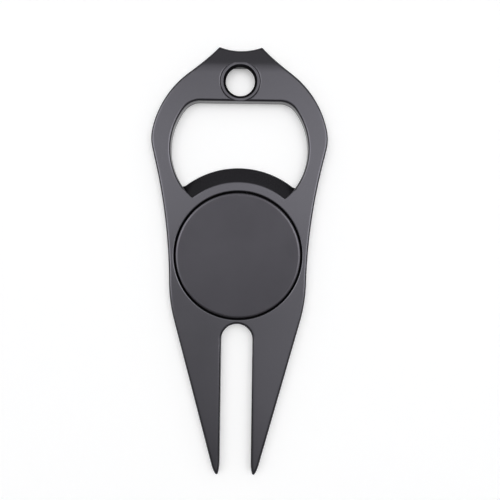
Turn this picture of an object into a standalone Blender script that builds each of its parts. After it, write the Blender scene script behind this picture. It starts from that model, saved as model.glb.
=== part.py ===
"""Divot repair tool: a two-pronged plate with a bottle-opener window and a magnetic ball marker.

The tool lies on its back. +X runs across the plate, +Y towards the key-ring hole and +Z out of the
front face. The origin is on the back face, on the axis of the round seat that holds the marker.
Dimensions are in millimetres and angles in degrees. MM turns millimetres into Blender's metres.
"""

import math

import bmesh
import bpy
from mathutils import Matrix

MM = 0.001
WELD = 0.001  # points closer than this are one point
CHORD_ERROR = 0.01  # how far a straight facet may stay inside its arc
CLEARANCE = 0.03  # between pieces that rest on each other
OVERSHOOT = 1.0  # how far a cutter stands out of the metal

# Plate
THICKNESS = 3.0
SLOT_HALF_WIDTH = 3.15
SLOT_END_Y = -13.8
PRONG_INNER_LENGTH = 24.9
TIP_SIDE_RADIUS = 8.0
TIP_SIDE_TURN = 14.35
TIP_NOSE_RADIUS = 0.34
PRONG_TAPER = 15.3  # between the prong's outer side and the Y axis
PRONG_OUTER_LENGTH = 30.05
KNEE = (31.0, 14.3)  # radius and turn
WAIST = (111.0, -12.3)
FLANK_LENGTH = 3.45
HIP = (8.7, 25.4)
CROWN = (19.3, 41.1)
SHOULDER = (38.0, -12.0)
HORN_RADIUS = 0.3
NOTCH_DEPTH_TURN = 21.6  # from the notch's middle to either horn

# Bevel at the hole end of the front face
BEVEL_START_Y = 38.0
BEVEL_SLOPE = 16.5

# Bottle-opener window and its lip
WINDOW_TOP_Y = 31.0
WINDOW_TOP_HALF_WIDTH = 8.05
WINDOW_CORNER = (4.0, -53.6)
WINDOW_SIDE = (13.28, -90.0)
LIP_FACE_RADIUS = 14.7  # where the lip's slope leaves the front face
LIP_TIP_RADIUS = 17.8
LIP_LAND = 0.8  # thickness of the lip's upright tip

# Key-ring hole
HOLE_Y = 35.05
HOLE_SPOTFACE = (4.0, 0.25)  # radius and depth
HOLE_FRONT_RADIUS = 3.45
HOLE_THROAT_RADIUS = 2.92
HOLE_BACK_RADIUS = 3.65
HOLE_THROAT_HEIGHTS = (2.1, 2.3)

# Ball marker, its seat and the magnet that holds it
SEAT_RADIUS = 12.85
SEAT_FLOOR_Z = 1.55
MARKER_RADIUS = 12.5
MARKER_THICKNESS = 1.5
MARKER_CHAMFER = 0.15
POCKET_RADIUS = 5.25
POCKET_FLOOR_Z = 0.4
MAGNET_RADIUS = 5.0
MAGNET_THICKNESS = 1.0
MAGNET_CHAMFER = 0.1
ADHESIVE_FLOOR = 0.06
ADHESIVE_TOP_Z = 1.3

PARTS = "divot_repair_tool"
CUTTERS = "cutters"


def clear_scene():
    for item in list(bpy.data.objects):
        bpy.data.objects.remove(item, do_unlink=True)


def new_collection(name):
    collection = bpy.data.collections.new(name)
    bpy.context.scene.collection.children.link(collection)
    return collection


def new_material(name, colour, roughness, metallic):
    material = bpy.data.materials.new(name)
    material.use_nodes = True
    shader = material.node_tree.nodes["Principled BSDF"]
    shader.inputs["Base Color"].default_value = (*colour, 1.0)
    shader.inputs["Roughness"].default_value = roughness
    shader.inputs["Metallic"].default_value = metallic
    return material


def facets(radius, turn, multiple=1):
    """How many straight facets keep an arc within CHORD_ERROR, as a multiple of a whole number."""
    widest = math.degrees(math.sqrt(8 * CHORD_ERROR / radius))
    return multiple * max(1, math.ceil(abs(turn) / widest / multiple))


def walk(start, heading, steps):
    """Points along a path of lines, given as a length, and tangent arcs, as (radius, turn to the left)."""
    x, y = start
    points = [(x, y)]
    for step in steps:
        if isinstance(step, tuple):
            radius, turn = step
            side = math.copysign(radius, turn)
            centre_x = x - side * math.sin(math.radians(heading))
            centre_y = y + side * math.cos(math.radians(heading))
            count = facets(radius, turn)
            for i in range(1, count + 1):
                angle = math.radians(heading + turn * i / count)
                points.append((centre_x + side * math.sin(angle), centre_y - side * math.cos(angle)))
            heading += turn
        else:
            angle = math.radians(heading)
            points.append((x + step * math.cos(angle), y + step * math.sin(angle)))
        x, y = points[-1]
    return points, heading


def closed(right_side):
    """A whole outline from its right half, whose first and last points are on the Y axis."""
    left_side = [(-x, y) for x, y in reversed(right_side[1:-1])]
    return [(0.0, right_side[0][1]), *right_side[1:-1], (0.0, right_side[-1][1]), *left_side]


def plate_outline():
    """From the slot's end down the right prong, round its tip and up the side to the notch."""
    nose_turn = 180 - PRONG_TAPER - 2 * TIP_SIDE_TURN
    side, heading = walk(
        (0.0, SLOT_END_Y),
        0,
        [
            (SLOT_HALF_WIDTH, -90),
            PRONG_INNER_LENGTH,
            (TIP_SIDE_RADIUS, TIP_SIDE_TURN),
            (TIP_NOSE_RADIUS, nose_turn),
            (TIP_SIDE_RADIUS, TIP_SIDE_TURN),
            PRONG_OUTER_LENGTH,
            KNEE,
            WAIST,
            FLANK_LENGTH,
            HIP,
            CROWN,
            SHOULDER,
        ],
    )
    notch_heading = 180 + NOTCH_DEPTH_TURN
    horn, heading = walk(side[-1], heading, [(HORN_RADIUS, notch_heading - heading)])
    notch_radius = horn[-1][0] / math.sin(math.radians(NOTCH_DEPTH_TURN))
    notch, heading = walk(horn[-1], heading, [(notch_radius, -NOTCH_DEPTH_TURN)])
    return closed(side + horn[1:] + notch[1:])


def window_outline():
    """From the middle of the window's upper side round to behind the lip."""
    side, heading = walk((0.0, WINDOW_TOP_Y), 0, [WINDOW_TOP_HALF_WIDTH, WINDOW_CORNER, WINDOW_SIDE])
    return closed([*side, (0.0, side[-1][1])])


def frozen(item, collection):
    """The item as a plain welded mesh object, in the same place."""
    bpy.context.view_layer.update()
    graph = bpy.context.evaluated_depsgraph_get()
    mesh = bpy.data.meshes.new_from_object(item.evaluated_get(graph))
    welded = bmesh.new()
    welded.from_mesh(mesh)
    bmesh.ops.remove_doubles(welded, verts=welded.verts, dist=WELD * MM)
    welded.to_mesh(mesh)
    welded.free()
    name = item.name
    place = item.matrix_world.copy()
    bpy.data.objects.remove(item, do_unlink=True)
    solid = bpy.data.objects.new(name, mesh)
    solid.matrix_world = place
    collection.objects.link(solid)
    return solid


def prism(name, outline, bottom, top, collection):
    """A flat outline made into a plate between two heights."""
    curve = bpy.data.curves.new(name, "CURVE")
    curve.dimensions = "2D"
    curve.fill_mode = "BOTH"
    curve.extrude = (top - bottom) / 2 * MM
    spline = curve.splines.new("POLY")
    spline.points.add(len(outline) - 1)
    for point, (x, y) in zip(spline.points, outline):
        point.co = (x * MM, y * MM, 0.0, 1.0)
    spline.use_cyclic_u = True
    sketch = bpy.data.objects.new(name, curve)
    sketch.location.z = (top + bottom) / 2 * MM
    collection.objects.link(sketch)
    return frozen(sketch, collection)


def turned(name, profile, place, collection):
    """A solid turned about Z, from (radius, height) points down its outer side."""
    mesh = bpy.data.meshes.new(name)
    corners = [(radius * MM, 0.0, height * MM) for radius, height in profile]
    mesh.from_pydata(corners, [(i, i + 1) for i in range(len(corners) - 1)], [])
    blank = bpy.data.objects.new(name, mesh)
    blank.location = [value * MM for value in place]
    collection.objects.link(blank)
    screw = blank.modifiers.new("turn", "SCREW")
    screw.steps = facets(max(radius for radius, _ in profile), 360, multiple=8)
    screw.render_steps = screw.steps
    screw.use_merge_vertices = True
    screw.merge_threshold = WELD * MM
    solid = frozen(blank, collection)
    solid.data.shade_smooth()
    solid.data.set_sharp_from_angle(angle=math.radians(30))
    return solid


def chamfered_disc(radius, thickness, chamfer):
    """The profile of a disc that stands on height 0."""
    return [
        (0, thickness),
        (radius - chamfer, thickness),
        (radius, thickness - chamfer),
        (radius, chamfer),
        (radius - chamfer, 0),
        (0, 0),
    ]


def as_cutter(item):
    item.hide_render = True
    item.display_type = "WIRE"
    return item


def cut(item, cutter):
    boolean = item.modifiers.new(cutter.name, "BOOLEAN")
    boolean.operation = "DIFFERENCE"
    boolean.solver = "EXACT"
    boolean.object = as_cutter(cutter)


def lip_form(collection):
    """The turned shape that the window leaves standing: a cone over an upright tip."""
    slope = (LIP_TIP_RADIUS - LIP_FACE_RADIUS) / (THICKNESS - LIP_LAND)
    top = THICKNESS + 2 * OVERSHOOT
    profile = [
        (0, top),
        (LIP_FACE_RADIUS - slope * 2 * OVERSHOOT, top),
        (LIP_TIP_RADIUS, LIP_LAND),
        (LIP_TIP_RADIUS, -2 * OVERSHOOT),
        (0, -2 * OVERSHOOT),
    ]
    return turned("lip_form", profile, (0, 0, 0), collection)


def window_cutter(collection):
    outline = window_outline()
    cutter = prism("window_cutter", outline, -OVERSHOOT, THICKNESS + OVERSHOOT, collection)
    cut(cutter, lip_form(collection))
    return cutter


def hole_cutter(collection):
    """A spotface, a funnel to the throat, and a wider funnel out of the back."""
    spotface_radius, spotface_depth = HOLE_SPOTFACE
    low, high = HOLE_THROAT_HEIGHTS
    profile = [
        (0, THICKNESS + OVERSHOOT),
        (spotface_radius, THICKNESS + OVERSHOOT),
        (spotface_radius, THICKNESS - spotface_depth),
        (HOLE_FRONT_RADIUS, THICKNESS - spotface_depth),
        (HOLE_THROAT_RADIUS, high),
        (HOLE_THROAT_RADIUS, low),
        (HOLE_BACK_RADIUS, 0),
        (HOLE_BACK_RADIUS, -OVERSHOOT),
        (0, -OVERSHOOT),
    ]
    return turned("hole_cutter", profile, (0, HOLE_Y, 0), collection)


def seat_cutter(collection):
    """The marker's seat, with the magnet's pocket in its floor."""
    profile = [
        (0, THICKNESS + OVERSHOOT),
        (SEAT_RADIUS, THICKNESS + OVERSHOOT),
        (SEAT_RADIUS, SEAT_FLOOR_Z),
        (POCKET_RADIUS, SEAT_FLOOR_Z),
        (POCKET_RADIUS, POCKET_FLOOR_Z),
        (0, POCKET_FLOOR_Z),
    ]
    return turned("seat_cutter", profile, (0, 0, 0), collection)


def bevel_cutter(collection):
    """A block whose lower face is the sloping face at the hole end."""
    length = 12.0
    width = 40.0
    height = 5.0
    slope = Matrix.Translation((0, BEVEL_START_Y * MM, THICKNESS * MM))
    slope = slope @ Matrix.Rotation(math.radians(-BEVEL_SLOPE), 4, "X")
    block = Matrix.Translation((0, (length / 2 - OVERSHOOT) * MM, height / 2 * MM))
    block = block @ Matrix.Diagonal((width * MM, length * MM, height * MM, 1))
    shape = bmesh.new()
    bmesh.ops.create_cube(shape, size=1, matrix=slope @ block)
    mesh = bpy.data.meshes.new("bevel_cutter")
    shape.to_mesh(mesh)
    shape.free()
    cutter = bpy.data.objects.new("bevel_cutter", mesh)
    collection.objects.link(cutter)
    return cutter


def tool_body(parts, cutters):
    body = prism("tool_body", plate_outline(), 0, THICKNESS, parts)
    for make in (window_cutter, hole_cutter, seat_cutter, bevel_cutter):
        cut(body, make(cutters))
    body.data.materials.append(new_material("black_coated_zinc", (0.075, 0.073, 0.08), 0.35, 0.85))
    return body


def magnet_adhesive(parts):
    """The cup of cured glue between the magnet and its pocket."""
    bottom = POCKET_FLOOR_Z + CLEARANCE
    outer = POCKET_RADIUS - CLEARANCE
    inner = MAGNET_RADIUS + CLEARANCE
    rim = ADHESIVE_TOP_Z - bottom
    profile = [(0, ADHESIVE_FLOOR), (inner, ADHESIVE_FLOOR), (inner, rim), (outer, rim), (outer, 0), (0, 0)]
    cup = turned("magnet_adhesive", profile, (0, 0, bottom), parts)
    cup.data.materials.append(new_material("cured_epoxy", (0.72, 0.66, 0.5), 0.3, 0.0))
    return cup


def magnet(parts):
    bottom = POCKET_FLOOR_Z + ADHESIVE_FLOOR + 2 * CLEARANCE
    profile = chamfered_disc(MAGNET_RADIUS, MAGNET_THICKNESS, MAGNET_CHAMFER)
    disc = turned("magnet", profile, (0, 0, bottom), parts)
    disc.data.materials.append(new_material("nickel_plate", (0.72, 0.7, 0.66), 0.2, 1.0))
    return disc


def ball_marker(parts):
    """The loose disc. Its origin is on the seat's axis, along which it lifts out."""
    bottom = SEAT_FLOOR_Z + CLEARANCE
    profile = chamfered_disc(MARKER_RADIUS, MARKER_THICKNESS, MARKER_CHAMFER)
    disc = turned("ball_marker", profile, (0, 0, bottom), parts)
    disc.data.materials.append(new_material("black_coated_steel", (0.06, 0.058, 0.064), 0.5, 0.7))
    return disc


def main():
    clear_scene()
    parts = new_collection(PARTS)
    cutters = new_collection(CUTTERS)
    centre = bpy.data.objects.new("tool_centre", None)
    parts.objects.link(centre)
    pieces = [tool_body(parts, cutters), magnet_adhesive(parts), magnet(parts), ball_marker(parts)]
    for piece in pieces:
        piece.parent = centre


main()
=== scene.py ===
"""Looks of the divot repair tool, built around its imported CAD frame.

The frame is in metres, with +X across the plate, +Y towards the key-ring hole, +Z out of the front
face and the origin on the back face, on the axis of the round marker seat. Shapes are worked out in
millimetres and degrees, as the CAD's driving dimensions are, and MM turns them into metres.
"""

import math

import bpy
import numpy as np
from mathutils import Matrix, Vector
from mathutils.geometry import delaunay_2d_cdt


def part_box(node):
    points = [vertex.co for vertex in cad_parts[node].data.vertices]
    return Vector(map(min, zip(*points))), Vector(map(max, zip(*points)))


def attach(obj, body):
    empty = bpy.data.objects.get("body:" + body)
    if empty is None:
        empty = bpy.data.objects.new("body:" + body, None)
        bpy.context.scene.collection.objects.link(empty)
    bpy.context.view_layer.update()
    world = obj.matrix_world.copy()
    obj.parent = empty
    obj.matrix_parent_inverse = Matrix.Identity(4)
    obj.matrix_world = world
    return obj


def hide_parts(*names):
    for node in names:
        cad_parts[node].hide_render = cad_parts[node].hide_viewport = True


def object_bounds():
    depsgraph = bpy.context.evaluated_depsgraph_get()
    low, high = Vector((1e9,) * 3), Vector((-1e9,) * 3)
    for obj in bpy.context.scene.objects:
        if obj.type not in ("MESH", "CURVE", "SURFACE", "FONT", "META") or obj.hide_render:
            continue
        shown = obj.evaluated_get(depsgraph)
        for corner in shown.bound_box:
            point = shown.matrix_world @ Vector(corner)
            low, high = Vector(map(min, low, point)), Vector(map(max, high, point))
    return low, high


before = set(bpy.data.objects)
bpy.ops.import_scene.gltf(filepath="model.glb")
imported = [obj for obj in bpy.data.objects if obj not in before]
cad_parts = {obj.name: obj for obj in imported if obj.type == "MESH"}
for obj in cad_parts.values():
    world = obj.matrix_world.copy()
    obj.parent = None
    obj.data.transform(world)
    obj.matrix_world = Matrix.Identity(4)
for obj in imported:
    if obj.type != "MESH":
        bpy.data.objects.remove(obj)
CAD_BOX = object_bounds()

MM = 0.001
CHORD_ERROR = 0.002  # how far a straight facet may stay inside its arc
ROUND_STEP = 15.0  # turn between two facets of a rounded edge
SHARP_ANGLE = 30.0
MERGE = 0.001  # lengths closer than this are the same
WELD = 0.00001  # points of the plan closer than this are one point
UNFOLDED = 0.97  # a moved path's points keep at least this share of their distance

# Sizes that the frame holds
BODY_LOW, BODY_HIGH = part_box("tool_body")
MARKER_LOW, MARKER_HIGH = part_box("ball_marker")
MAGNET_LOW, MAGNET_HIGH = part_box("magnet")
GLUE_LOW, GLUE_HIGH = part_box("magnet_adhesive")
THICKNESS = (BODY_HIGH.z - BODY_LOW.z) / MM

# Plate, as in the CAD: arcs are (radius, turn to the left)
SLOT_HALF_WIDTH = 3.15
SLOT_END_Y = -13.8
PRONG_INNER_LENGTH = 24.9
TIP_SIDE = (8.0, 14.35)
TIP_NOSE_RADIUS = 0.34
PRONG_TAPER = 15.3  # between the prong's outer side and the Y axis
PRONG_OUTER_LENGTH = 30.05
KNEE = (31.0, 14.3)
WAIST = (111.0, -12.3)
FLANK_LENGTH = 3.45
HIP = (8.7, 25.4)
CROWN = (19.3, 41.1)
SHOULDER = (38.0, -12.0)
HORN_RADIUS = 0.3
NOTCH_DEPTH_TURN = 21.6  # from the notch's middle to either horn
BEVEL_START_Y = 38.0
BEVEL_SLOPE = 16.5
BEVEL_BLEND = 1.2  # how far the bevel's start is eased in, either way

# Window and lip, as in the CAD
WINDOW_TOP_Y = 31.0
WINDOW_TOP_HALF_WIDTH = 8.05
WINDOW_CORNER = (4.0, -53.6)
WINDOW_SIDE = (13.28, -90.0)
LIP_FACE_RADIUS = 14.7  # where the lip's slope leaves the front face
LIP_TIP_RADIUS = 17.8
LIP_LAND = 0.8
LIP_SECTOR = (50.0, 130.0)  # bearings round the seat's axis that hold the whole lip

# Key-ring hole, marker seat and magnet pocket, as in the CAD
HOLE_Y = 35.05
SPOTFACE_RADIUS = 4.0
SPOTFACE_DEPTH = 0.25
HOLE_FRONT_RADIUS = 3.45
HOLE_THROAT_RADIUS = 2.92
HOLE_BACK_RADIUS = 3.65
HOLE_THROAT_HEIGHTS = (2.1, 2.3)
SEAT_RADIUS = 12.85
SEAT_FLOOR_Z = 1.55
POCKET_RADIUS = 5.25
POCKET_FLOOR_Z = 0.4
GROOVE_RADIUS = 12.3  # from here out, the seat's floor shows round the marker

# Radii of the casting's edges
EDGE = 0.5
BACK_EDGE = 0.2
LIP_EDGE = 0.2
SEAT_RIM = 0.3
HOLE_RIM = 0.3
SMALL_EDGE = 0.1
LIP_BROW = 0.5  # where the lip's slope leaves the face

# Small features of the casting
DRAFT = 0.05  # how far a seat's wall leans back
WALL_FOOT = 0.04  # how far the lip's end walls lean
HOLD = 0.06  # plain strip that keeps the flat faces' shading flat
BLEND_LINES = 9  # lines across the plan that follow the eased start of the bevel

# Edge of the marker's upper face
MARKER_EDGE = 0.4  # how wide it is
MARKER_FALL = 0.06  # and how far it falls

# Glue round the magnet
GLUE_GAP = 0.03  # between the glue and the magnet
GLUE_FLOOR = 0.06
GLUE_SAG = 0.06  # how far the ring's middle lies below its edges
GLUE_RIPPLE = 0.05


# ---------------------------------------------------------------- outlines


def facets(radius, turn):
    """How many straight facets keep an arc within CHORD_ERROR."""
    widest = math.degrees(math.sqrt(8 * CHORD_ERROR / radius))
    return max(1, math.ceil(abs(turn) / widest), math.ceil(abs(turn) / ROUND_STEP))


def walk(start, heading, steps):
    """Points along a path of lines, given as a length, and tangent arcs, as (radius, turn to the left)."""
    x, y = start
    points = [(x, y)]
    for step in steps:
        if isinstance(step, tuple):
            radius, turn = step
            side = math.copysign(radius, turn)
            centre_x = x - side * math.sin(math.radians(heading))
            centre_y = y + side * math.cos(math.radians(heading))
            count = facets(radius, turn)
            for i in range(1, count + 1):
                angle = math.radians(heading + turn * i / count)
                points.append((centre_x + side * math.sin(angle), centre_y - side * math.cos(angle)))
            heading += turn
        else:
            angle = math.radians(heading)
            points.append((x + step * math.cos(angle), y + step * math.sin(angle)))
        x, y = points[-1]
    return points, heading


def closed(right_side):
    """A whole loop from its right half, whose first and last points are on the Y axis."""
    left_side = [(-x, y) for x, y in reversed(right_side[1:-1])]
    return np.array([(0.0, right_side[0][1]), *right_side[1:-1], (0.0, right_side[-1][1]), *left_side])


def plate_loop():
    """The plate's outline: down the right prong's inner side, round its tip and up to the notch."""
    nose_turn = 180 - PRONG_TAPER - 2 * TIP_SIDE[1]
    tip = [TIP_SIDE, (TIP_NOSE_RADIUS, nose_turn), TIP_SIDE]
    flank = [PRONG_OUTER_LENGTH, KNEE, WAIST, FLANK_LENGTH, HIP, CROWN, SHOULDER]
    steps = [(SLOT_HALF_WIDTH, -90), PRONG_INNER_LENGTH, *tip, *flank]
    side, heading = walk((0.0, SLOT_END_Y), 0, steps)
    horn, heading = walk(side[-1], heading, [(HORN_RADIUS, 180 + NOTCH_DEPTH_TURN - heading)])
    notch_radius = horn[-1][0] / math.sin(math.radians(NOTCH_DEPTH_TURN))
    notch, heading = walk(horn[-1], heading, [(notch_radius, -NOTCH_DEPTH_TURN)])
    return closed(side + horn[1:] + notch[1:])


def split_at_radius(points, radius):
    """An inward path as the part outside a radius round the seat's axis, and the part inside it."""
    first_inside = next(i for i, point in enumerate(points) if math.hypot(*point) < radius)
    outer, inner = Vector(points[first_inside - 1]), Vector(points[first_inside])
    share = (outer.length - radius) / (outer.length - inner.length)
    crossing = tuple(outer.lerp(inner, share))
    return points[:first_inside] + [crossing], [crossing] + points[first_inside:]


def arc(radius, first, last, centre=(0.0, 0.0)):
    """Points on an arc between two bearings, anticlockwise from the X axis."""
    angles = np.radians(np.linspace(first, last, facets(radius, last - first) + 1))
    return np.array(centre) + radius * np.column_stack([np.cos(angles), np.sin(angles)])


def window_paths():
    """The window's loop, clockwise, and the top edge of the lip's end wall on the right."""
    side, _ = walk((0.0, WINDOW_TOP_Y), 0, [WINDOW_TOP_HALF_WIDTH, WINDOW_CORNER, WINDOW_SIDE])
    open_side, rest = split_at_radius(side, LIP_TIP_RADIUS)
    lip_end, _ = split_at_radius(rest, LIP_FACE_RADIUS)
    bearing = math.degrees(math.atan2(open_side[-1][1], open_side[-1][0]))
    tip = [tuple(point) for point in arc(LIP_TIP_RADIUS, bearing, 90)]
    return closed(open_side + tip[1:]), np.array(lip_end)


def window_side_centre():
    """The centre of the arc that forms the window's right side and the lip's end wall."""
    turn = math.radians(-WINDOW_CORNER[1])
    step = WINDOW_CORNER[0] - WINDOW_SIDE[0]
    corner_y = WINDOW_TOP_Y - WINDOW_CORNER[0]
    return WINDOW_TOP_HALF_WIDTH + step * math.sin(turn), corner_y + step * math.cos(turn)


def distance_to(points, path, is_loop):
    """How far each point is from a path of straight segments."""
    ends = np.roll(path, -1, axis=0) if is_loop else path[1:]
    starts = path if is_loop else path[:-1]
    nearest = np.full(len(points), np.inf)
    for start, end in zip(starts, ends):
        along = end - start
        share = np.clip((points - start) @ along / (along @ along), 0, 1)
        nearest = np.minimum(nearest, np.hypot(*(points - start - share[:, None] * along).T))
    return nearest


def moved_left(path, distance, is_loop):
    """The path moved to its left, without the points where it would fold over itself."""
    ahead = np.roll(path, -1, axis=0) - path
    if not is_loop:
        ahead[-1] = ahead[-2]
    ahead /= np.hypot(*ahead.T)[:, None]
    behind = np.roll(ahead, 1, axis=0)
    if not is_loop:
        behind[0] = ahead[0]
    normals = np.column_stack([-(ahead + behind)[:, 1], (ahead + behind)[:, 0]])
    normals /= (1 + np.sum(ahead * behind, axis=1))[:, None]
    moved = path + distance * normals
    return moved[distance_to(moved, path, is_loop) > UNFOLDED * distance]


def mirrored(path):
    return path * np.array([-1.0, 1.0])


# ---------------------------------------------------------------- heights


def rounded(corners):
    """A profile as an array of points, from corners given as (across, up, radius)."""
    points = [corners[0][:2]]
    for before, here, after in zip(corners, corners[1:], corners[2:]):
        corner = Vector(here[:2])
        to_before = (Vector(before[:2]) - corner).normalized()
        to_after = (Vector(after[:2]) - corner).normalized()
        half = to_before.angle(to_after) / 2
        centre = corner + (to_before + to_after).normalized() * (here[2] / math.sin(half))
        first = corner + to_before * (here[2] / math.tan(half)) - centre
        last = corner + to_after * (here[2] / math.tan(half)) - centre
        start = math.atan2(first.y, first.x)
        sweep = (math.atan2(last.y, last.x) - start + math.pi) % (2 * math.pi) - math.pi
        count = max(1, math.ceil(math.degrees(abs(sweep)) / ROUND_STEP))
        for i in range(count + 1):
            angle = start + sweep * i / count
            points.append((centre.x + here[2] * math.cos(angle), centre.y + here[2] * math.sin(angle)))
    points.append(corners[-1][:2])
    return np.array(points)


SEAT_PROFILE = rounded([
    (0.0, POCKET_FLOOR_Z, 0.0),
    (POCKET_RADIUS - DRAFT, POCKET_FLOOR_Z, SMALL_EDGE),
    (POCKET_RADIUS, SEAT_FLOOR_Z, SMALL_EDGE),
    (SEAT_RADIUS - DRAFT, SEAT_FLOOR_Z, SMALL_EDGE),
    (SEAT_RADIUS, THICKNESS, SEAT_RIM),
    (SEAT_RADIUS + SEAT_RIM + HOLD, THICKNESS, 0.0),
])
HOLE_PROFILE = rounded([
    (HOLE_THROAT_RADIUS, HOLE_THROAT_HEIGHTS[1], 0.0),
    (HOLE_FRONT_RADIUS, THICKNESS - SPOTFACE_DEPTH, SMALL_EDGE),
    (SPOTFACE_RADIUS - DRAFT, THICKNESS - SPOTFACE_DEPTH, SMALL_EDGE),
    (SPOTFACE_RADIUS, THICKNESS, HOLE_RIM),
    (SPOTFACE_RADIUS + HOLE_RIM + HOLD, THICKNESS, 0.0),
])
BACK_HOLE_PROFILE = rounded([
    (HOLE_THROAT_RADIUS, HOLE_THROAT_HEIGHTS[0], 0.0),
    (HOLE_BACK_RADIUS, 0.0, SMALL_EDGE),
    (HOLE_BACK_RADIUS + SMALL_EDGE + HOLD, 0.0, 0.0),
])
LIP_PROFILE = rounded([
    (LIP_FACE_RADIUS - LIP_BROW, THICKNESS, 0.0),
    (LIP_FACE_RADIUS, THICKNESS, LIP_BROW),
    (LIP_TIP_RADIUS, LIP_LAND, 0.0),
])

# The edge radius along the top of the lip's end walls, which grows from nothing towards the window
LIP_END_EDGES = np.array([
    (LIP_FACE_RADIUS, 0.0),
    (LIP_FACE_RADIUS + 0.3, 0.15),
    (LIP_TIP_RADIUS - 0.8, LIP_EDGE),
    (LIP_TIP_RADIUS, EDGE),
])


def round_drop(distance, radius):
    """How far a rounded edge lies below its face, at a distance in from the edge."""
    inside = np.clip(distance, 0, radius)
    return radius - np.sqrt(np.maximum(radius**2 - (radius - inside) ** 2, 0))


def bevelled_face(y):
    """The front face's height: level, then eased into the bevel at the hole end."""
    slope = math.tan(math.radians(BEVEL_SLOPE))
    past = y - BEVEL_START_Y
    eased = np.clip(past + BEVEL_BLEND, 0, 2 * BEVEL_BLEND) ** 2 / (4 * BEVEL_BLEND)
    return THICKNESS - slope * np.where(past > BEVEL_BLEND, past, eased)


def front_height(points, plate, window, lip_end):
    """The front surface's height over each point of the plan, and how rounded the edge is there."""
    x, y = points.T
    from_seat = np.hypot(x, y)
    from_hole = np.hypot(x, y - HOLE_Y)
    centre_x, centre_y = window_side_centre()
    from_side = np.hypot(np.maximum(np.abs(x) - centre_x, 0), y - centre_y)
    on_lip = (from_side < WINDOW_SIDE[0] - WALL_FOOT / 2) & (from_seat < LIP_TIP_RADIUS + HOLD) & (y > 0)
    height = bevelled_face(y)
    height = np.minimum(height, np.interp(from_seat, *SEAT_PROFILE.T))
    height = np.where(on_lip, np.minimum(height, np.interp(from_seat, *LIP_PROFILE.T)), height)
    edge = np.minimum(distance_to(points, plate, True), distance_to(points, window, True))
    end_walls = [distance_to(points, wall, False) for wall in (lip_end, mirrored(lip_end))]
    end_rounding = np.interp(from_seat, *LIP_END_EDGES.T)
    face_drop = np.maximum(round_drop(edge, EDGE), round_drop(np.minimum(*end_walls), end_rounding))
    drop = np.where(on_lip, round_drop(LIP_TIP_RADIUS - from_seat, LIP_EDGE), face_drop)
    return np.minimum(height - drop, np.interp(from_hole, *HOLE_PROFILE.T)), drop


def back_height(points, plate, window):
    from_hole = np.hypot(points[:, 0], points[:, 1] - HOLE_Y)
    edge = np.minimum(distance_to(points, plate, True), distance_to(points, window, True))
    drop = round_drop(edge, BACK_EDGE)
    return np.maximum(drop, np.interp(from_hole, *BACK_HOLE_PROFILE.T)), drop


# ---------------------------------------------------------------- the casting's mesh


def plan_paths(plate, window, lip_end):
    """Every line of the plan that the mesh's edges follow, as (path, whether it is a loop)."""
    turns = np.radians(np.arange(ROUND_STEP, 90.1, ROUND_STEP))
    insets = [radius * (1 - math.cos(turn)) for radius in (EDGE, BACK_EDGE) for turn in turns]
    insets.append(EDGE + HOLD)
    paths = [(plate, True), (window, True)]
    for inset in insets:
        paths.append((moved_left(plate, inset, True), True))
        paths.append((moved_left(window, inset, True), True))
    foot = moved_left(lip_end, -WALL_FOOT, False)
    end_lines = [lip_end, foot] + [moved_left(lip_end, inset, False) for inset in insets]
    for line in end_lines:
        paths.append((line, False))
        paths.append((mirrored(line), False))
    for radius in (*SEAT_PROFILE[1:, 0], GROOVE_RADIUS):
        paths.append((arc(radius, 0, 360)[:-1], True))
    for radius in np.concatenate([HOLE_PROFILE[:, 0], BACK_HOLE_PROFILE[1:, 0]]):
        paths.append((arc(radius, 0, 360, (0.0, HOLE_Y))[:-1], True))
    for radius in LIP_PROFILE[:-1, 0]:
        paths.append((arc(radius, *LIP_SECTOR), False))
    half_width = BODY_HIGH.x / MM + 1
    for y in BEVEL_START_Y + BEVEL_BLEND * np.linspace(-1, 1, BLEND_LINES):
        paths.append((np.array([(-half_width, y), (half_width, y)]), False))
    return paths


def inside(points, loop):
    """Whether each point is inside a loop."""
    found = np.zeros(len(points), bool)
    x, y = points.T
    for (x0, y0), (x1, y1) in zip(loop, np.roll(loop, -1, axis=0)):
        if y0 != y1:
            crosses = (y0 > y) != (y1 > y)
            found ^= crosses & (x < x0 + (y - y0) * (x1 - x0) / (y1 - y0))
    return found


def plan_triangles(plate, window, lip_end):
    """The plan of the metal as points and triangles, anticlockwise, with edges along every path."""
    points, edges = [], []
    for path, is_loop in plan_paths(plate, window, lip_end):
        first = len(points)
        points += [Vector(point) for point in path]
        edges += [(i, i + 1) for i in range(first, len(points) - 1)]
        if is_loop:
            edges.append((len(points) - 1, first))
    made = delaunay_2d_cdt(points, edges, [], 0, WELD, False)
    plan = np.array([tuple(point) for point in made[0]])
    triangles = np.array([tuple(face) for face in made[2]])
    a, b, c = (plan[triangles[:, i]] for i in range(3))
    middles = (a + b + c) / 3
    throat = arc(HOLE_THROAT_RADIUS, 0, 360, (0.0, HOLE_Y))[:-1]
    metal = inside(middles, plate) & ~inside(middles, window) & ~inside(middles, throat)
    triangles = triangles[metal]
    a, b, c = (plan[triangles[:, i]] for i in range(3))
    clockwise = (b - a)[:, 0] * (c - a)[:, 1] < (b - a)[:, 1] * (c - a)[:, 0]
    triangles[clockwise] = triangles[clockwise][:, ::-1]
    used, where = np.unique(triangles, return_inverse=True)
    return plan[used], where.reshape(-1, 3)


def outer_edges(triangles):
    """The directed edges that only one triangle has."""
    edges = {}
    for a, b, c in triangles.tolist():
        for edge in ((a, b), (b, c), (c, a)):
            edges[edge] = edge
    return [edge for edge in edges if (edge[1], edge[0]) not in edges]


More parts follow.
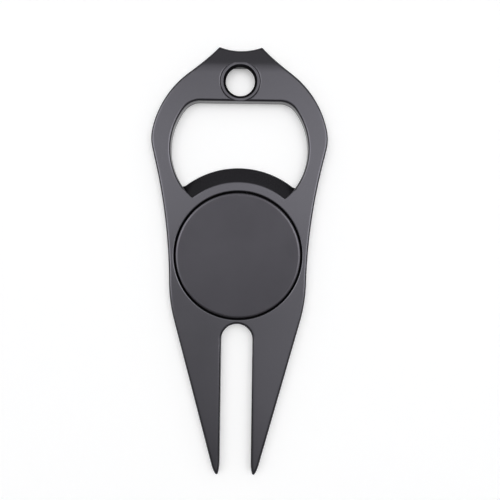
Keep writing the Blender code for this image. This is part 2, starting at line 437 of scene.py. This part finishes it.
def casting_mesh():
    """The plate as a front and a back surface over one plan, joined by walls."""
    plate = plate_loop()
    window, lip_end = window_paths()
    plan, triangles = plan_triangles(plate, window, lip_end)
    front, front_drop = front_height(plan, plate, window, lip_end)
    back, back_drop = back_height(plan, plate, window)
    rim = outer_edges(triangles)
    rim_points = sorted({i for edge in rim for i in edge})
    count = len(plan)
    verts = [np.column_stack([plan, front]), np.column_stack([plan, back])]
    columns = {}
    for k, i in enumerate(rim_points):
        low = 2 * count + 2 * k
        columns[i] = (count + i, low, low + 1, i)
        hold = min(HOLD, (front[i] - back[i]) / 3)
        verts.append([(*plan[i], back[i] + hold), (*plan[i], front[i] - hold)])
    faces = triangles.tolist() + (triangles[:, ::-1] + count).tolist()
    for a, b in rim:
        for k in range(3):
            faces.append((columns[a][k], columns[b][k], columns[b][k + 1], columns[a][k + 1]))
    drops = np.concatenate([front_drop, back_drop, np.zeros(2 * len(rim_points))])
    return np.concatenate(verts), faces, drops


def new_piece(name, verts, faces):
    """A smooth-shaded mesh object from points in millimetres."""
    mesh = bpy.data.meshes.new(name)
    mesh.from_pydata((np.asarray(verts) * MM).tolist(), [], faces)
    mesh.validate()
    mesh.shade_smooth()
    mesh.set_sharp_from_angle(angle=math.radians(SHARP_ANGLE))
    piece = bpy.data.objects.new(name, mesh)
    bpy.context.scene.collection.objects.link(piece)
    return piece


def note(piece, name, values):
    """Stores a value for each vertex, for the material to read."""
    attribute = piece.data.attributes.new(name, "FLOAT", "POINT")
    attribute.data.foreach_set("value", values.astype(np.float32))


def casting():
    """The plate. Its edge attribute is 1 halfway round an edge, and the attribute for painted shade
    is 1 in the groove round the marker and in the hole."""
    verts, faces, drops = casting_mesh()
    piece = new_piece("tool_casting", verts, faces)
    x, y, z = verts.T
    from_seat = np.hypot(x, y)
    in_groove = (from_seat > GROOVE_RADIUS + MERGE) & (from_seat < SEAT_RADIUS) & (z < THICKNESS - SEAT_RIM)
    in_hole = (np.hypot(x, y - HOLE_Y) < HOLE_FRONT_RADIUS) & (z < THICKNESS - SPOTFACE_DEPTH - MERGE)
    note(piece, "edge", np.sin(np.pi * np.clip(drops / EDGE, 0, 1)))
    note(piece, "painted_recess_shade", (in_groove & (z > MERGE)) | in_hole)
    return piece


# ---------------------------------------------------------------- turned pieces


def disc_size(low, high):
    """The radius, the bottom and the top of a disc that fills a frame box."""
    return high.x / MM, low.z / MM, high.z / MM


def turned(name, profile, ripple=None):
    """A piece turned about the Z axis, from a profile up its outer side between two points on the axis."""
    steps = facets(max(profile[:, 0]), 360)
    angles = np.linspace(0, 2 * math.pi, steps, endpoint=False)
    verts = [(0.0, 0.0, profile[0, 1])]
    for radius, height in profile[1:-1]:
        for angle in angles:
            lift = ripple(radius, height, angle) if ripple else 0.0
            verts.append((radius * math.cos(angle), radius * math.sin(angle), height + lift))
    verts.append((0.0, 0.0, profile[-1, 1]))
    last = len(verts) - 1
    faces = []
    for i in range(steps):
        j = (i + 1) % steps
        faces.append((0, 1 + j, 1 + i))
        faces.append((last, last - steps + i, last - steps + j))
        for ring in range(len(profile) - 3):
            low, high = 1 + ring * steps, 1 + (ring + 1) * steps
            faces.append((low + i, low + j, high + j, high + i))
    return new_piece(name, verts, faces)


def marker_disc():
    """A disc whose upper face slopes away a little before its edge."""
    radius, bottom, top = disc_size(MARKER_LOW, MARKER_HIGH)
    piece = turned("marker_disc", rounded([
        (0.0, bottom, 0.0),
        (radius, bottom, 0.15),
        (radius, top - MARKER_FALL, 0.13),
        (radius - MARKER_EDGE, top, 0.8),
        (0.0, top, 0.0),
    ]))
    points = np.array([tuple(vertex.co) for vertex in piece.data.vertices]) / MM
    in_from_edge = radius - np.hypot(points[:, 0], points[:, 1])
    note(piece, "edge", in_from_edge < MARKER_EDGE - MERGE)
    return piece


def pocket_magnet():
    radius, bottom, top = disc_size(MAGNET_LOW, MAGNET_HIGH)
    return turned("pocket_magnet", rounded([
        (0.0, bottom, 0.0),
        (radius, bottom, 0.12),
        (radius, top, 0.12),
        (0.0, top, 0.0),
    ]))


def adhesive_cup():
    """The glue: a thin floor and a ring that has crept up both walls, with an uneven edge."""
    outer, bottom, top = disc_size(GLUE_LOW, GLUE_HIGH)
    inner = MAGNET_HIGH.x / MM + GLUE_GAP
    middle = (inner + outer) / 2
    floor = bottom + GLUE_FLOOR
    profile = rounded([
        (0.0, bottom, 0.0),
        (outer, bottom, 0.08),
        (outer, top, 0.02),
        (middle, top - GLUE_SAG, 0.05),
        (inner, top, 0.02),
        (inner, floor, 0.01),
        (0.0, floor, 0.0),
    ])

    def ripple(radius, height, angle):
        """The edge's height varies round the ring, because the glue was dropped in by hand."""
        share = max(0.0, (height - floor) / (top - floor))
        waves = math.sin(3 * angle + 0.6) + 0.6 * math.sin(7 * angle + 2.1) + 0.4 * math.sin(12 * angle)
        return -GLUE_RIPPLE * share * (1 + waves / 2)

    return turned("adhesive_cup", profile, ripple)


# ---------------------------------------------------------------- materials


class Material:
    """A Principled material, with short ways to add and join the nodes that vary it."""

    def __init__(self, name, metallic=0.0, ior=1.5):
        self.material = bpy.data.materials.new(name)
        self.material.use_nodes = True
        self.nodes = self.material.node_tree.nodes
        self.links = self.material.node_tree.links
        self.shader = self.nodes["Principled BSDF"]
        self.shader.inputs["Metallic"].default_value = metallic
        self.shader.inputs["IOR"].default_value = ior
        self.place = self.nodes.new("ShaderNodeTexCoord").outputs["Object"]

    def set(self, node, values):
        """Sets or joins a node's inputs."""
        for name, value in values.items():
            if isinstance(value, bpy.types.NodeSocket):
                self.links.new(value, node.inputs[name])
            else:
                node.inputs[name].default_value = value

    def noise(self, size, detail=2.0, place=None):
        """Smooth noise with blotches of about a size in millimetres, from 0 to 1."""
        node = self.nodes.new("ShaderNodeTexNoise")
        self.set(node, {"Vector": place or self.place, "Scale": 1 / (size * MM), "Detail": detail})
        return node.outputs["Fac"]

    def stretched(self, x, y, z):
        """The object's coordinates, with each axis multiplied."""
        node = self.nodes.new("ShaderNodeMapping")
        self.set(node, {"Vector": self.place, "Scale": (x, y, z)})
        return node.outputs["Vector"]

    def between(self, value, low, high, to_low, to_high):
        """The value taken from one range to another, and held at its ends."""
        node = self.nodes.new("ShaderNodeMapRange")
        limits = {"From Min": low, "From Max": high, "To Min": to_low, "To Max": to_high}
        self.set(node, {"Value": value, **limits})
        return node.outputs["Result"]

    def maths(self, operation, first, second):
        node = self.nodes.new("ShaderNodeMath")
        node.operation = operation
        for socket, value in zip(node.inputs, (first, second)):
            if isinstance(value, bpy.types.NodeSocket):
                self.links.new(value, socket)
            else:
                socket.default_value = value
        return node.outputs["Value"]

    def mixed(self, share, first, second):
        """A colour between two, given as red, green and blue."""
        node = self.nodes.new("ShaderNodeMix")
        node.data_type = "RGBA"
        for socket, value in ((node.inputs[0], share), (node.inputs[6], first), (node.inputs[7], second)):
            if isinstance(value, bpy.types.NodeSocket):
                self.links.new(value, socket)
            else:
                socket.default_value = (*value, 1.0)
        return node.outputs[2]

    def attribute(self, name):
        node = self.nodes.new("ShaderNodeAttribute")
        node.attribute_name = name
        return node.outputs["Fac"]

    def bump(self, height, depth, under=None):
        """A surface whose height runs over a depth in millimetres."""
        node = self.nodes.new("ShaderNodeBump")
        self.set(node, {"Height": height, "Distance": depth * MM, "Strength": 1.0})
        if under:
            self.links.new(under, node.inputs["Normal"])
        return node.outputs["Normal"]

    def finish(self, colour, roughness, normal):
        self.set(self.shader, {"Base Color": colour, "Roughness": roughness, "Normal": normal})
        return self.material


def body_coating():
    """Satin black coat on the casting, with a faint orange peel and worn along edges, and rougher with its
    shine turned down in the groove and the hole as painted shade.
    """
    coat = Material("body_coating", ior=1.6)
    coat.shader.inputs["Specular Tint"].default_value = (0.91, 0.89, 1.0, 1.0)
    blotches = coat.noise(9.0, 3.0)
    peel = coat.noise(0.55, 2.0)
    grain = coat.noise(0.09, 1.0)
    wear = coat.between(coat.noise(1.3), 0.35, 0.65, 0.3, 1.0)
    edge = coat.maths("MULTIPLY", coat.attribute("edge"), wear)
    colour = coat.mixed(blotches, (0.0042, 0.0039, 0.0048), (0.0055, 0.0051, 0.0062))
    colour = coat.mixed(coat.maths("MULTIPLY", edge, 0.5), colour, (0.012, 0.0114, 0.0132))
    roughness = coat.between(blotches, 0.3, 0.7, 0.19, 0.23)
    roughness = coat.maths("ADD", roughness, coat.between(grain, 0.3, 0.7, -0.02, 0.02))
    # Painted shade: the groove round the marker and the hole get a rougher coat with almost no shine, so
    # they render darker than the face.
    painted_recess_shade = coat.attribute("painted_recess_shade")
    roughness = coat.maths("ADD", roughness, coat.between(painted_recess_shade, 0.0, 1.0, 0.0, 0.1))
    coat.set(coat.shader, {"Specular IOR Level": coat.between(painted_recess_shade, 0.0, 1.0, 0.5, 0.06)})
    normal = coat.bump(grain, 0.0004, coat.bump(peel, 0.0012))
    return coat.finish(colour, roughness, normal)


def marker_coating():
    """Matt black coat on the marker, with a fine even grain, rubbed smooth along its edges, where a lighter
    colour, partly rubbed coat and partly a painted highlight, makes a bright line.
    """
    coat = Material("marker_coating", ior=1.51)
    coat.shader.inputs["Specular Tint"].default_value = (0.91, 0.88, 1.0, 1.0)
    blotches = coat.noise(6.0, 3.0)
    grain = coat.noise(0.12, 2.0)
    colour = coat.mixed(blotches, (0.0062, 0.0058, 0.007), (0.0078, 0.0073, 0.0088))
    edge = coat.attribute("edge")
    # Partly rubbed coat, partly painted highlight: the edge is lighter all round, to show a bright line
    # there.
    colour = coat.mixed(edge, colour, (0.016, 0.0152, 0.0176))
    roughness = coat.between(blotches, 0.3, 0.7, 0.5, 0.56)
    roughness = coat.maths("SUBTRACT", roughness, coat.maths("MULTIPLY", edge, 0.24))
    normal = coat.bump(grain, 0.002)
    return coat.finish(colour, roughness, normal)


def magnet_plating():
    """Bright nickel with a faint haze, and fine scratches from handling."""
    plate = Material("magnet_plating", metallic=1.0)
    haze = plate.noise(1.8, 4.0)
    scratches = plate.noise(0.12, 1.0, plate.stretched(1.0, 0.06, 1.0))
    crossing = plate.noise(0.15, 1.0, plate.stretched(0.05, 1.0, 1.0))
    colour = plate.mixed(haze, (0.66, 0.63, 0.58), (0.76, 0.73, 0.68))
    roughness = plate.between(haze, 0.3, 0.7, 0.14, 0.24)
    normal = plate.bump(scratches, 0.0008, plate.bump(crossing, 0.0006))
    return plate.finish(colour, roughness, normal)


def cured_adhesive():
    """Clear amber epoxy, cloudy in places and with tiny bubbles."""
    glue = Material("cured_adhesive", ior=1.55)
    cloud = glue.noise(0.9, 3.0)
    bubbles = glue.noise(0.14, 1.0)
    colour = glue.mixed(cloud, (0.52, 0.4, 0.2), (0.66, 0.57, 0.38))
    roughness = glue.between(cloud, 0.3, 0.7, 0.16, 0.34)
    glue.set(glue.shader, {"Subsurface Weight": 0.3, "Subsurface Scale": 0.4 * MM})
    normal = glue.bump(glue.between(bubbles, 0.62, 0.7, 0.0, 1.0), 0.01)
    return glue.finish(colour, roughness, normal)


def table_top():
    """Matt white card under the tool."""
    card = Material("table_top")
    fibres = card.noise(0.7, 3.0)
    colour = card.mixed(card.noise(60.0), (0.88, 0.88, 0.89), (0.9, 0.9, 0.9))
    card.set(card.shader, {"Emission Color": (1.0, 1.0, 1.0, 1.0), "Emission Strength": 0.27})
    return card.finish(colour, card.between(fibres, 0.3, 0.7, 0.6, 0.7), card.bump(fibres, 0.004))


# ---------------------------------------------------------------- studio


TARGET = Vector((0.0, 0.0, THICKNESS * MM))
LIGHT_DISTANCE = 4.0
FLOOR_RADIUS = 1.6
FLOOR_SIDES = 96
FLOOR_GAP = 0.02 * MM
CAMERA_PLACE = (2.42 * MM, 1.14 * MM, 142.0 * MM)
CAMERA_ROLL = 0.8
CAMERA_HALF_ANGLE = 19.84
SENSOR_WIDTH = 36.0


def softbox(name, across, along, half_width, half_height, radiance, on_table=True):
    """A soft rectangular light, seen from the tool at angles from overhead towards +X and towards +Y. Its
    width is the angle it spans along X, and its height the angle along Y, both from its middle."""
    light = bpy.data.lights.new(name, "AREA")
    light.shape = "RECTANGLE"
    light.size = 2 * LIGHT_DISTANCE * math.tan(math.radians(half_width))
    light.size_y = 2 * LIGHT_DISTANCE * math.tan(math.radians(half_height))
    light.energy = math.pi * light.size * light.size_y * radiance
    lamp = bpy.data.objects.new(name, light)
    away = Vector((math.tan(math.radians(across)), math.tan(math.radians(along)), 1.0)).normalized()
    side = (Vector((1.0, 0.0, 0.0)) - away.x * away).normalized()
    turn = Matrix((side, away.cross(side), away)).transposed()
    lamp.matrix_world = Matrix.Translation(TARGET + LIGHT_DISTANCE * away) @ turn.to_4x4()
    lamp.visible_camera = False
    lamp.visible_diffuse = on_table
    bpy.context.scene.collection.objects.link(lamp)
    return lamp


def surroundings(dim, pale):
    """The room: dim as the tool and the floor see it, and pale behind them."""
    world = bpy.data.worlds.new("room")
    bpy.context.scene.world = world
    world.use_nodes = True
    nodes, links = world.node_tree.nodes, world.node_tree.links
    paths = nodes.new("ShaderNodeLightPath")
    mix = nodes.new("ShaderNodeMix")
    mix.data_type = "RGBA"
    links.new(paths.outputs["Is Camera Ray"], mix.inputs[0])
    mix.inputs[6].default_value = (*dim, 1.0)
    mix.inputs[7].default_value = (*pale, 1.0)
    links.new(mix.outputs[2], nodes["Background"].inputs["Color"])


def floor():
    """A round white table top just under the tool."""
    height = CAD_BOX[0].z - FLOOR_GAP
    ring = []
    for i in range(FLOOR_SIDES):
        angle = 2 * math.pi * i / FLOOR_SIDES
        ring.append((FLOOR_RADIUS * math.cos(angle), FLOOR_RADIUS * math.sin(angle), height))
    mesh = bpy.data.meshes.new("table_top")
    mesh.from_pydata(ring, [], [tuple(range(FLOOR_SIDES))])
    piece = bpy.data.objects.new("table_top", mesh)
    bpy.context.scene.collection.objects.link(piece)
    mesh.materials.append(table_top())


def camera():
    lens = bpy.data.cameras.new("camera")
    lens.sensor_width = SENSOR_WIDTH
    lens.lens = SENSOR_WIDTH / 2 / math.tan(math.radians(CAMERA_HALF_ANGLE))
    lens.clip_start = 0.01
    lens.clip_end = 20.0
    holder = bpy.data.objects.new("camera", lens)
    holder.location = CAMERA_PLACE
    holder.rotation_euler = (0.0, 0.0, math.radians(CAMERA_ROLL))
    bpy.context.scene.collection.objects.link(holder)
    bpy.context.scene.camera = holder


def studio():
    softbox("overhead", 0, 7, 34, 6.5, 2.42)
    softbox("overhead_far", 0, 19.5, 34, 6, 1.5)
    softbox("far_upper", 0, 31, 17, 6, 1.3)
    softbox("far_middle", 0, 41.5, 17, 5, 0.45)
    softbox("far_lower", 0, 54, 20, 8, 0.43)
    softbox("overhead_front", 0, -8, 34, 8.5, 0.92)
    softbox("overhead_right", 13, 2, 14, 22, 0.48)
    softbox("front_right", 7, -14, 7, 8, 0.52)
    softbox("left_glint", -32, 11, 17, 17, 4.6, on_table=False)
    softbox("right_glint", 32, 9, 17, 15, 4.6, on_table=False)
    surroundings((0.28, 0.28, 0.28), (1.0, 1.0, 1.0))
    floor()
    camera()
    bpy.context.scene.view_settings.view_transform = "Standard"


# ---------------------------------------------------------------- the tool


def place(piece, material, body, node, slot):
    """Gives a piece its material, and puts it in the CAD node's place."""
    piece.data.materials.append(material)
    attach(piece, body)
    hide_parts(node)


place(casting(), body_coating(), "tool", "tool_body", "body_coating")
place(marker_disc(), marker_coating(), "marker", "ball_marker", "marker_coating")
place(pocket_magnet(), magnet_plating(), "tool", "magnet", "magnet_plating")
place(adhesive_cup(), cured_adhesive(), "tool", "magnet_adhesive", "cured_adhesive")
studio()
